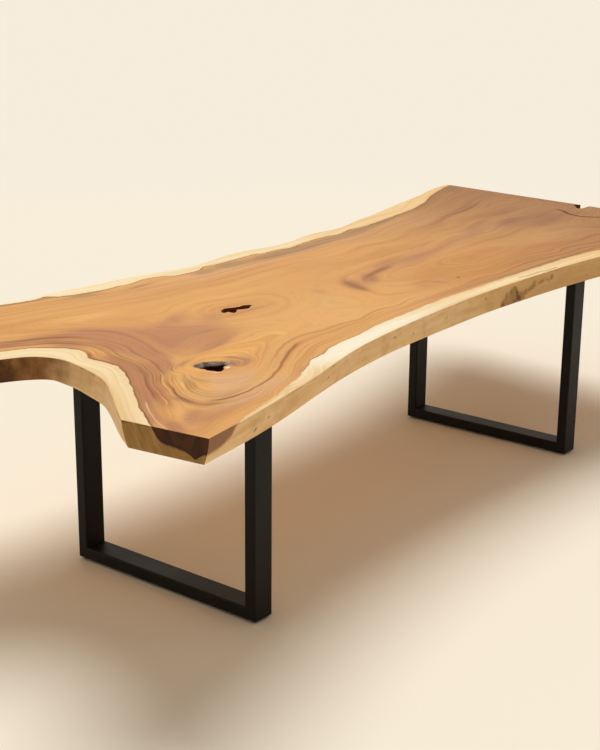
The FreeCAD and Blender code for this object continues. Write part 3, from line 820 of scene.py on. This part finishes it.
# noises that all the wood's faces share: size in millimetres, detail and roughness
woodNoises = {"longWave": (340, 0.0, 0.5), "shortWave": (60, 0.0, 0.5), "ragged": (60, 5.0, 0.62)}
growthWaves = {"longWave": 8.0, "shortWave": 1.6}   # how far they bend the growth, in millimetres
borderWave = 22.0                                   # and how far the sapwood border wanders


def total(tree, start, *terms):
    # start plus each field times its factor
    for field, factor in terms:
        start = addNode(tree, "Math", {"operation": "MULTIPLY_ADD"}, {0: field, 1: factor, 2: start})
    return start


def fillRamp(ramp, stops):
    elements = ramp.color_ramp.elements
    while len(elements) < len(stops):
        elements.new(0.5)
    for element, (place, colour) in zip(elements, stops):
        element.position = place
        element.color = hexColour(colour)
    return ramp


def layOver(tree, colour, layers, palette, fields):
    # covers a colour with each layer's as far as its shares multiply to. A share is a field, or one
    # that goes smoothly from 0 at its low value to its most at its high value
    for name, *parts in layers:
        share = None
        for part in parts:
            if isinstance(part, tuple):
                field, low, high, most = part
                part = addNode(tree, "MapRange", smooth, {
                    "Value": fields.get(field, field), "From Min": low, "From Max": high, "To Max": most})
            else:
                part = fields[part]
            share = part if share is None else addNode(
                tree, "Math", {"operation": "MULTIPLY"}, {0: share, 1: part})
        colour = addNode(tree, "Mix", {"data_type": "RGBA"}, {
            "Factor": share, "A": colour, "B": palette[name]})
    return colour


def placeFields(tree, noises):
    # place in metres, and noises: size in millimetres, detail and roughness
    place = addNode(tree, "TexCoord").outputs["Object"]
    fields = {"place": place}
    for name, (size, detail, roughness) in noises.items():
        fields[name] = addNode(tree, "TexNoise", None, {
            "Vector": place, "Scale": 1000 / size, "Detail": detail, "Roughness": roughness})
    return fields


def dress(tree, values, colour, rough, heights):
    # what feeds the shader; roughness can follow a noise, and relief is a full swing's height in metres
    inputs = {"Base Color": colour, "Roughness": values["roughness"], **values["shader"]}
    if rough:
        (low, high), (least, most) = noiseRange, values["roughness"]
        inputs["Roughness"] = addNode(tree, "MapRange", None, {
            "Value": rough, "From Min": low, "From Max": high, "To Min": least, "To Max": most})
    inputs["Normal"] = addNode(tree, "Bump", None, {
        "Strength": 1.0, "Distance": values["relief"], "Height": heights})
    return inputs


def woodFields(tree, noises):
    # growth bent by small waves, and the distance into the heartwood with a ragged border
    fields = placeFields(tree, {**woodNoises, **noises})
    split = addNode(tree, "SeparateXYZ", None, {"Vector": fields["place"]})
    fields.update({"x": split.outputs["X"], "y": split.outputs["Y"]})
    fields["growth"] = total(tree, "growth", *[(fields[name], swing) for name, swing in growthWaves.items()])
    fields["heart"] = total(tree, -borderWave / 2, ("heart", 1.0), (fields["ragged"], borderWave))
    return fields


# raintree face, sanded flat and oiled: gold to tan heartwood with darker growth streaks, a crisp pale
# sapwood rim and a soft sheen. A layer has its colour and its shares: field, low, high and most
raintree = {
    "heartStops": [
        (0.00, "#945c3f"), (0.18, "#b07149"), (0.36, "#c98952"), (0.50, "#d89a5c"),
        (0.64, "#e3a765"), (0.80, "#edb571"), (1.00, "#f5c484"),
    ],
    "sapStops": [(0.28, "#eac48f"), (0.45, "#f3d3a1"), (0.62, "#fbe2b5"), (0.8, "#feebc4")],
    "mauve": "#b77e5e", "gold": "#f1b061", "umber": "#997b57", "rust": "#bc7636", "blush": "#e3b083",
    # far is a painted shade: the heartwood darkens towards the far end, where the light falls off
    "far": "#916443", "flame": "#f9ca86", "streak": "#7c4320", "paleRing": "#efc8a0", "border": "#6e441f",
    # the sapwood's colour at the far end is a painted shade
    "sapStreak": "#d3b782", "sapFarShade": "#ecbb78", "cream": "#fff6df", "sapSoft": "#deaa6c",
    # the pale colour after crack is a painted highlight at the near knot's lip
    "crack": "#5c3517", "knotLipHighlight": "#fbead6",
    # fields made from others: start, source and its factor
    "mixes": {
        "swing": (-0.5, "medium", 1.0), "fineSwing": (-0.5, "fine", 1.0), "slowTone": (0.37, "broad", 0.5),
        "streakTone": (0.55, "figure", 1.8), "fineTone": (0.35, "figure", 0.65),
        "streakShare": (0.06, "figure", 0.66), "thinShare": (0.05, "figure", 0.5),
        "uneven": (0.05, "medium", 1.7), "ringShare": (0.1, "broad", 1.4),
    },
    "heartLayers": [
        ("rust", ("rust", 0.02, 1.0, 0.5), "uneven"), ("gold", ("gold", 0.02, 1.0, 0.75), "uneven"),
        ("mauve", ("mauve", 0.02, 1.0, 0.85), "uneven"), ("umber", ("umber", 0.02, 1.0, 0.9), "uneven"),
        # the far layer is painted shade, darkening the heartwood towards the far end where the light falls
        # off
        ("blush", ("blush", 0.02, 1.0, 0.75), "uneven"), ("far", ("x", 0.0, 1.9, 0.75)),
        # flame, streaks, known rings, thin dark lines, fibres, pores and the dark rim
        ("flame", ("line", 0.46, 0.3, 0.6), ("gold", 0.2, 1.0, 1.0)),
        ("streak", ("medium", 0.5, 0.74, 1.0), "streakShare"),
        ("streak", ("rings", 0.05, 0.9, 0.95), "ringTone", "ringShare"),
        ("streak", ("knotRing", 0.05, 0.7, 0.62),
         ("growth", 215.0, 221.5, 1.0), ("growth", 229.0, 223.0, 1.0)),
        ("paleRing", ("paleRing", 0.05, 0.7, 0.7),
         ("growth", 115.0, 118.5, 1.0), ("growth", 123.0, 119.5, 1.0)),
        ("streak", ("line", 0.58, 0.8, 1.0), "thinShare"), ("streak", ("fine", 0.35, 0.75, 0.16)),
        ("streak", ("pore", 0.6, 0.8, 0.16)),
        ("border", ("heart", 8.0, 0.5, 1.8), "medium", ("rim", -0.2, 0.9, 1.0)),
    ],
    # painted shade: the sapwood, like the heartwood, darkens towards the far end, where the light falls off
    "sapLayers": [
        ("sapStreak", ("line", 0.55, 0.8, 0.25)), ("sapStreak", ("pore", 0.6, 0.8, 0.16)),
        ("sapFarShade", ("x", -0.6, 1.9, 0.6)), ("cream", ("cream", 0.1, 1.0, 0.85)),
        ("sapSoft", ("heart", -20.0, 0.0, 0.6), "softShare"),
    ],
    "softFrom": (-0.4, 0.4),            # metres along the board over which sapwood turns soft
    "sapSwing": 0.4,
    "faceLayers": [
        ("heartwood", ("heart", -1.0, 1.0, 1.0)), ("crack", ("crack", 0.15, 0.95, 1.0)),
        # a painted highlight at the near knot's lip, then the pin knot
        ("knotLipHighlight", ("knotLipHighlight", 0.3, 1.0, 0.9)), ("crack", ("toPin", 0.009, 0.0036, 1.0)),
    ],
    "pin": (160, -350),                 # a pin knot's place in millimetres; toPin is in metres
    "roughness": (0.45, 0.57), "relief": 0.0006, "shader": {"IOR": 1.45, "Specular IOR Level": 0.06},
}
# widths across the grain, lengths along it, detail and roughness of the noise, sizes in millimetres;
# fibres and pores are really 0.2 mm wide and are drawn ten times coarser to show
grainSizes = {
    "broad": (46.0, 1200.0, 2.0, 0.5),
    "medium": (13.0, 800.0, 2.0, 0.45),
    "fine": (5.0, 400.0, 2.0, 0.55),
    "line": (8.0, 1400.0, 0.0, 0.5),
    "pore": (2.2, 40.0, 1.0, 0.5),
}


def addGrain(tree, fields):
    # noises drawn out along the growth lines, and what is made from them
    for name, (width, length, detail, roughness) in grainSizes.items():
        across = addNode(tree, "Math", {"operation": "DIVIDE"}, {0: fields["growth"], 1: width})
        alongX, alongY = [
            addNode(tree, "Math", {"operation": "MULTIPLY"}, {0: fields[axis], 1: 1000 / length})
            for axis in "xy"]
        at = addNode(tree, "CombineXYZ", None, {"X": across, "Y": alongX, "Z": alongY})
        fields[name] = addNode(tree, "TexNoise", None, {
            "Vector": at, "Scale": 1.0, "Detail": detail, "Roughness": roughness})
    fields["figure"] = addNode(tree, "MapRange", smooth, {"Value": "figure"})
    for name, (start, source, factor) in raintree["mixes"].items():
        fields[name] = total(tree, start, (fields[source], factor))
    # the known dark rings, read off a ramp along the growth
    deepest = darkRings[-1][0]
    at = addNode(tree, "Math", {"operation": "MULTIPLY"}, {0: fields["growth"], 1: 1 / deepest})
    stops = [(place / deepest, "#" + "%02x" % round(dark * 255) * 3) for place, dark in darkRings]
    fields["ringTone"] = fillRamp(addNode(tree, "ValToRGB", None, {"Fac": at}), stops)
    low, high = raintree["softFrom"]
    soft = addNode(tree, "MapRange", smooth, {"Value": fields["x"], "From Min": low, "From Max": high})
    fields["softShare"] = total(tree, soft, ("soft", 1.0))
    x, y = raintree["pin"]
    fields["toPin"] = addNode(tree, "VectorMath", {"operation": "DISTANCE"}, {
        0: fields["place"], 1: (x * mm, y * mm, topZ * mm)}).outputs["Value"]


def oiledRaintree(tree):
    fields = woodFields(tree, {})
    addGrain(tree, fields)
    # slow bands, and streaks that are stronger where the figure is
    streaks = (fields["swing"], fields["streakTone"]), (fields["fineSwing"], fields["fineTone"])
    heart = addNode(tree, "ValToRGB", None, {"Fac": total(tree, fields["slowTone"], *streaks)})
    heart = layOver(tree, fillRamp(heart, raintree["heartStops"]), raintree["heartLayers"], raintree, fields)
    sapTone = total(tree, fields["broad"], (fields["swing"], raintree["sapSwing"]))
    sap = fillRamp(addNode(tree, "ValToRGB", None, {"Fac": sapTone}), raintree["sapStops"])
    sap = layOver(tree, sap, raintree["sapLayers"], raintree, fields)
    face = layOver(tree, sap, raintree["faceLayers"], {**raintree, "heartwood": heart}, fields)
    relief = addNode(tree, "Math", {"operation": "MULTIPLY"}, {0: fields["fine"], 1: fields["pore"]})
    return dress(tree, raintree, face, fields["fine"], relief)


# natural edge, debarked and sanded by hand: tan sapwood with long fibres, brown stain and bark
liveEdge = {
    "tanStops": [(0.2, "#dba969"), (0.42, "#ebbd82"), (0.6, "#f2c890"), (0.8, "#f7d4a3")],
    "mottle": "#cb9959", "far": "#c08d46", "heart": "#8a5839", "stain": "#835324",
    "darkStain": "#4a2b12", "bark": "#a0733d", "darkBark": "#5f3b1c",
    "layers": [
        ("mottle", ("mottles", 0.5, 0.75, 0.5)), ("far", ("x", -0.3, 0.3, 0.62)),
        ("heart", ("heart", -6.0, 9.0, 0.9)),
        ("stain", ("stained", 0.0, 1.0, 0.97)), ("darkStain", ("stained", 0.9, 1.35, 0.85)),
        ("bark", ("barked", 0.2, 0.6, 0.85)), ("darkBark", ("barked", 0.8, 1.2, 0.9)),
    ],
    "noises": {"mottles": (70, 4.0, 0.55), "small": (20, 3.0, 0.6)},
    "fibre": (150.0, 16.0),             # length along the edge and height, in millimetres
    "stainMottle": 2.0, "barkFrom": -0.48, "barkRagged": 0.9,
    "roughness": 0.55, "relief": 0.0012, "shader": {"IOR": 1.45, "Specular IOR Level": 0.25},
}


def sandedLiveEdge(tree):
    fields = woodFields(tree, liveEdge["noises"])
    length, height = liveEdge["fibre"]
    stretched = addNode(tree, "VectorMath", {"operation": "MULTIPLY"}, {
        0: fields["place"], 1: (1000 / length, 1000 / length, 1000 / height)})
    fibres = addNode(tree, "TexNoise", None, {
        "Vector": stretched, "Scale": 1.0, "Detail": 5.0, "Roughness": 0.6})
    mottled = total(tree, 0.0, (fields["mottles"], liveEdge["stainMottle"]))
    fields["stained"] = addNode(tree, "Math", {"operation": "MULTIPLY"}, {0: mottled, 1: "stain"})
    fields["barked"] = total(
        tree, liveEdge["barkFrom"], ("bark", 1.0), (fields["small"], liveEdge["barkRagged"]))
    tan = fillRamp(addNode(tree, "ValToRGB", None, {"Fac": fibres}), liveEdge["tanStops"])
    colour = layOver(tree, tan, liveEdge["layers"], liveEdge, fields)
    return dress(tree, liveEdge, colour, None, fibres)


# sawn across the grain and sanded: darker, with growth rings and a nearly black heart
sawnEnd = {
    "sapStops": [(0.25, "#846031"), (0.5, "#9f7740"), (0.75, "#b58b50")],
    "heart": "#3c1f08", "heartLight": "#502c13", "rim": "#241105",
    "heartLayers": [("heartLight", ("rings", 0.4, 0.65, 1.0)), ("rim", ("heart", 14.0, 2.0, 0.8))],
    "faceLayers": [("heartwood", ("heart", -4.0, 5.0, 1.0))],
    "ring": (11.0, 90.0), "lean": 0.55,     # a ring's width and height in millimetres, and its lean
    "roughness": 0.6, "relief": 0.0006, "shader": {"IOR": 1.45, "Specular IOR Level": 0.2},
}


def sawnEndGrain(tree):
    fields = woodFields(tree, {})
    width, depth = sawnEnd["ring"]
    leaning = total(tree, fields["growth"], ("below", sawnEnd["lean"]))
    at = addNode(tree, "CombineXYZ", None, {
        "X": addNode(tree, "Math", {"operation": "MULTIPLY"}, {0: leaning, 1: 1 / width}),
        "Y": addNode(tree, "Math", {"operation": "MULTIPLY"}, {0: "below", 1: 1 / depth})})
    rings = addNode(tree, "TexNoise", None, {"Vector": at, "Scale": 1.0, "Detail": 3.0, "Roughness": 0.6})
    fields["rings"] = rings
    heart = layOver(tree, sawnEnd["heart"], sawnEnd["heartLayers"], sawnEnd, fields)
    sap = fillRamp(addNode(tree, "ValToRGB", None, {"Fac": rings}), sawnEnd["sapStops"])
    colour = layOver(tree, sap, sawnEnd["faceLayers"], {"heartwood": heart}, fields)
    return dress(tree, sawnEnd, colour, None, rings)


# wood torn open by a knot or a drying crack: dark and dull; the near knot's walls are painted grey high up,
# as the light that falls in, and near black lower down, as shade deep in the hole
tornWood = {
    "greyStops": [(0.3, "#8d786b"), (0.5, "#b8a497"), (0.7, "#d6c8bd")],
    "dark": "#7a4420", "black": "#2a1207", "lip": "#5e3c20", "crack": "#6e3f15",
    # near black where the near knot is: painted shade deep in the hole
    "insideLayers": [("black", ("knotLitAndShaded", 0.1, 0.6, 1.0))],
    "layers": [
        ("inside", ("below", 0.5, 5.0, 1.0)),
        # grey high up the near knot's walls: painted light falling in
        ("grey", ("below", 16.0, 9.0, 1.0), ("knotLitAndShaded", 0.1, 0.6, 1.0)),
        ("crack", ("crack", 0.1, 0.5, 1.0)),
    ],
    "noises": {"mottles": (18, 4.0, 0.6)},
    "roughness": 0.8, "relief": 0.003, "shader": {"Specular IOR Level": 0.0},
}


def weatheredKnot(tree):
    fields = placeFields(tree, tornWood["noises"])
    grey = fillRamp(addNode(tree, "ValToRGB", None, {"Fac": fields["mottles"]}), tornWood["greyStops"])
    inside = layOver(tree, tornWood["dark"], tornWood["insideLayers"], tornWood, fields)
    palette = {**tornWood, "inside": inside, "grey": grey}
    colour = layOver(tree, tornWood["lip"], tornWood["layers"], palette, fields)
    return dress(tree, tornWood, colour, None, fields["mottles"])


for name, shown, finish in (
        ("oiled_raintree_face", "#d8a064", oiledRaintree), ("sanded_live_edge", "#dcba7d", sandedLiveEdge),
        ("sawn_end_grain", "#b38f58", sawnEndGrain), ("weathered_knot_wall", "#4a382c", weatheredKnot)):
    board.data.materials.append(makeMaterial(name, shown, finish))
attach(board, "table")
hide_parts("live_edge_slab")
print("board finished")


# satin black powder coat, baked on: a faint orange peel and a broad soft highlight
powderCoat = {
    "colour": "#0b0805", "worn": "#120d08", "layers": [("worn", ("cloud", 0.3, 0.7, 1.0))],
    "noises": {"peel": (2.5, 2.0, 0.5), "cloud": (160, 3.0, 0.5)},
    "roughness": (0.44, 0.53), "relief": 0.00008, "shader": {"Specular IOR Level": 0.16},
}


def satinPowderCoat(tree):
    fields = placeFields(tree, powderCoat["noises"])
    colour = layOver(tree, powderCoat["colour"], powderCoat["layers"], powderCoat, fields)
    return dress(tree, powderCoat, colour, fields["cloud"], fields["peel"])


# steel screws and inserts, zinc plated: pale grey metal with a slight bloom
zinc = {
    "colour": "#a2a4a6", "pale": "#b9bbbb", "layers": [("pale", ("bloom", 0.35, 0.65, 1.0))],
    "noises": {"bloom": (6, 3.0, 0.5)}, "roughness": (0.28, 0.42),
}


def zincPlate(tree):
    fields = placeFields(tree, zinc["noises"])
    low, high = zinc["roughness"]
    return {
        "Base Color": layOver(tree, zinc["colour"], zinc["layers"], zinc, fields), "Metallic": 1.0,
        "Roughness": addNode(tree, "MapRange", None, {
            "Value": fields["bloom"], "To Min": low, "To Max": high}),
    }


# moulded black nylon: matt, very slightly mottled
nylon = {
    "colour": "#141416", "pale": "#1d1d20", "layers": [("pale", ("skin", 0.3, 0.7, 1.0))],
    "noises": {"skin": (3, 2.0, 0.5)}, "roughness": 0.55, "relief": 0.0001, "shader": {"IOR": 1.53},
}


def mouldedNylon(tree):
    fields = placeFields(tree, nylon["noises"])
    colour = layOver(tree, nylon["colour"], nylon["layers"], nylon, fields)
    return dress(tree, nylon, colour, None, fields["skin"])


finishOf = {part["node"]: part["material_slot"] for part in frame["record"]["subparts"]}
metals = {
    "powder_coated_steel": makeMaterial("satin_powder_coat", "#0b0805", satinPowderCoat),
    "zinc_plated_steel": makeMaterial("zinc_plated_steel", "#a9abad", zincPlate),
    "nylon_pad": makeMaterial("moulded_nylon", "#17171a", mouldedNylon),
}
for name, node in nodes.items():
    if finishOf[name] in metals:
        node.data.materials.clear()
        node.data.materials.append(metals[finishOf[name]])
print("steel and nylon finished")


# plain floor that fades into the backdrop, soft light from almost overhead
studio = {
    "floor": "#f6ecdb", "backdrop": "#f6eddd", "fill": "#fff6e7", "fillStrength": 0.38,
    "key": "#eef1f1", "keyStrength": 2.5, "keyAngle": 36.0, "keyFrom": (0.36, 0.23, 0.90),
    "floorReach": 60.0, "fadeFrom": 4.5, "fadeTo": 9.0,
}


def layFloor():
    reach = studio["floorReach"]
    mesh = bpy.data.meshes.new("studio_floor")
    corners = [(-reach, -reach, 0), (reach, -reach, 0), (reach, reach, 0), (-reach, reach, 0)]
    mesh.from_pydata(corners, [], [(0, 1, 2, 3)])
    floor = bpy.data.objects.new("studio_floor", mesh)
    bpy.context.scene.collection.objects.link(floor)
    material = makeMaterial("studio_floor", studio["floor"], lambda tree: {
        "Base Color": studio["floor"], "Roughness": 0.85})
    tree = material.node_tree
    shader, output = tree.nodes[:2]
    place = addNode(tree, "TexCoord").outputs["Object"]
    away = addNode(tree, "VectorMath", {"operation": "LENGTH"}, {0: place}).outputs["Value"]
    fade = addNode(tree, "MapRange", smooth, {
        "Value": away, "From Min": studio["fadeFrom"], "From Max": studio["fadeTo"]})
    glow = addNode(tree, "Emission", None, {"Color": studio["backdrop"]})
    mix = addNode(tree, "MixShader", None, {0: fade, 1: shader, 2: glow})
    feed(tree, output.inputs["Surface"], mix)
    mesh.materials.append(material)


def lightStudio():
    sun = bpy.data.lights.new("softbox", "SUN")
    sun.energy = studio["keyStrength"]
    sun.angle = math.radians(studio["keyAngle"])
    sun.color = hexColour(studio["key"])[:3]
    lamp = bpy.data.objects.new("softbox", sun)
    lamp.rotation_euler = Vector(studio["keyFrom"]).to_track_quat("Z", "Y").to_euler()
    bpy.context.scene.collection.objects.link(lamp)
    world = bpy.data.worlds.new("studio")
    world.use_nodes = True
    tree = world.node_tree
    tree.nodes.clear()
    seen = addNode(tree, "Background", None, {"Color": studio["backdrop"]})
    fill = addNode(tree, "Background", None, {
        "Color": studio["fill"], "Strength": studio["fillStrength"]})
    ray = addNode(tree, "LightPath").outputs
    direct = ray["Is Camera Ray"]
    for other in ("Is Glossy Ray", "Is Transmission Ray"):
        direct = addNode(tree, "Math", {"operation": "MAXIMUM"}, {0: direct, 1: ray[other]})
    mix = addNode(tree, "MixShader", None, {0: direct, 1: fill, 2: seen})
    addNode(tree, "OutputWorld", None, {"Surface": mix})
    bpy.context.scene.world = world


camera = {
    "place": (-4.080, -2.983, 1.895), "yaw": 38.39, "pitch": 16.74, "roll": 0.50, "lens": 67.34,
    "sensor": 36, "clipEnd": 200,
}


def placeCamera():
    yaw, pitch, roll = [math.radians(camera[name]) for name in ("yaw", "pitch", "roll")]
    ahead = Vector((math.cos(pitch) * math.cos(yaw), math.cos(pitch) * math.sin(yaw), -math.sin(pitch)))
    right = ahead.cross(Vector((0, 0, 1))).normalized()
    up = right.cross(ahead)
    turnedRight = right * math.cos(roll) + up * math.sin(roll)
    turnedUp = up * math.cos(roll) - right * math.sin(roll)
    data = bpy.data.cameras.new("camera")
    data.lens = camera["lens"]
    data.sensor_width = camera["sensor"]
    data.sensor_fit = "AUTO"
    data.clip_end = camera["clipEnd"]
    view = bpy.data.objects.new("camera", data)
    turn = Matrix((turnedRight, turnedUp, -ahead)).transposed().to_4x4()
    view.matrix_world = Matrix.Translation(camera["place"]) @ turn
    bpy.context.scene.collection.objects.link(view)
    bpy.context.scene.camera = view


layFloor()
lightStudio()
placeCamera()
bpy.context.scene.view_settings.view_transform = "Standard"
print("studio set")
